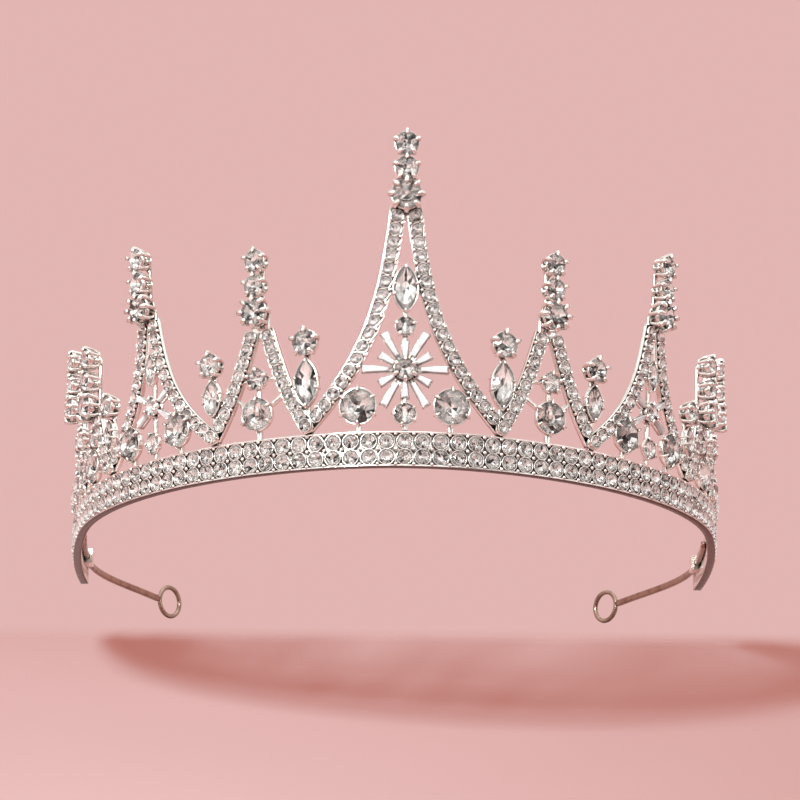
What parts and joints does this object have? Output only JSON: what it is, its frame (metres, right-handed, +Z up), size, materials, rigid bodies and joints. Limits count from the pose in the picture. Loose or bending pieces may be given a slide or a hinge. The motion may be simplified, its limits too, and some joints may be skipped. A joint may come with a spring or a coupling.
{
  "type": "bridal tiara",
  "caption": "Curved rhinestone-set tiara with flared spires, snowflake and navette motifs, claw-set finials and spring arms ending in eye loops.",
  "frame": {"origin": "centre of the bounding box, at the level of the band's lower edge", "axes": "+Z up along the spires, -Y towards the convex front, +X to the right seen from behind the wearer's face side"},
  "size_m": [0.1444, 0.1594, 0.0682],
  "materials": {
    "plated_metal": "bright silver plate",
    "band_metal": "bright silver plate",
    "crystal": "foil-backed clear crystal",
    "milky_crystal": "milky opal glass",
    "spring_wire": "drawn wire, plated"
  },
  "bodies": {
    "root": {"band_base": "band_metal", "band_stones_lower": "crystal", "band_stones_upper": "crystal", "frame_c": "plated_metal", "pave_c": "crystal", "finial_c": "plated_metal", "settings_c": "plated_metal", "crystals_c": "crystal", "frame_r2": "plated_metal", "pave_r2": "crystal", "finial_r2": "plated_metal", "settings_r2": "plated_metal", "crystals_r2": "crystal", "frame_l2": "plated_metal", "pave_l2": "crystal", "finial_l2": "plated_metal", "settings_l2": "plated_metal", "crystals_l2": "crystal", "frame_r3": "plated_metal", "pave_r3": "crystal", "finial_r3": "plated_metal", "settings_r3": "plated_metal", "crystals_r3": "crystal", "frame_l3": "plated_metal", "pave_l3": "crystal", "finial_l3": "plated_metal", "settings_l3": "plated_metal", "crystals_l3": "crystal", "frame_r4": "plated_metal", "pave_r4": "crystal", "finial_r4": "plated_metal", "settings_r4": "plated_metal", "crystals_r4": "crystal", "frame_l4": "plated_metal", "pave_l4": "crystal", "finial_l4": "plated_metal", "settings_l4": "plated_metal", "crystals_l4": "crystal", "frame_r5": "plated_metal", "pave_r5": "crystal", "finial_r5": "plated_metal", "settings_r5": "plated_metal", "crystals_r5": "crystal", "frame_l5": "plated_metal", "pave_l5": "crystal", "finial_l5": "plated_metal", "settings_l5": "plated_metal", "crystals_l5": "crystal", "baguettes_c": "milky_crystal", "baguettes_r": "milky_crystal", "baguettes_l": "milky_crystal", "valley_settings_r": "plated_metal", "valley_settings_l": "plated_metal", "valley_crystals_r": "crystal", "valley_crystals_l": "crystal", "arm_right": "spring_wire", "arm_left": "spring_wire", "crimp_right": "plated_metal", "crimp_left": "plated_metal"}
  },
  "joints": []
}
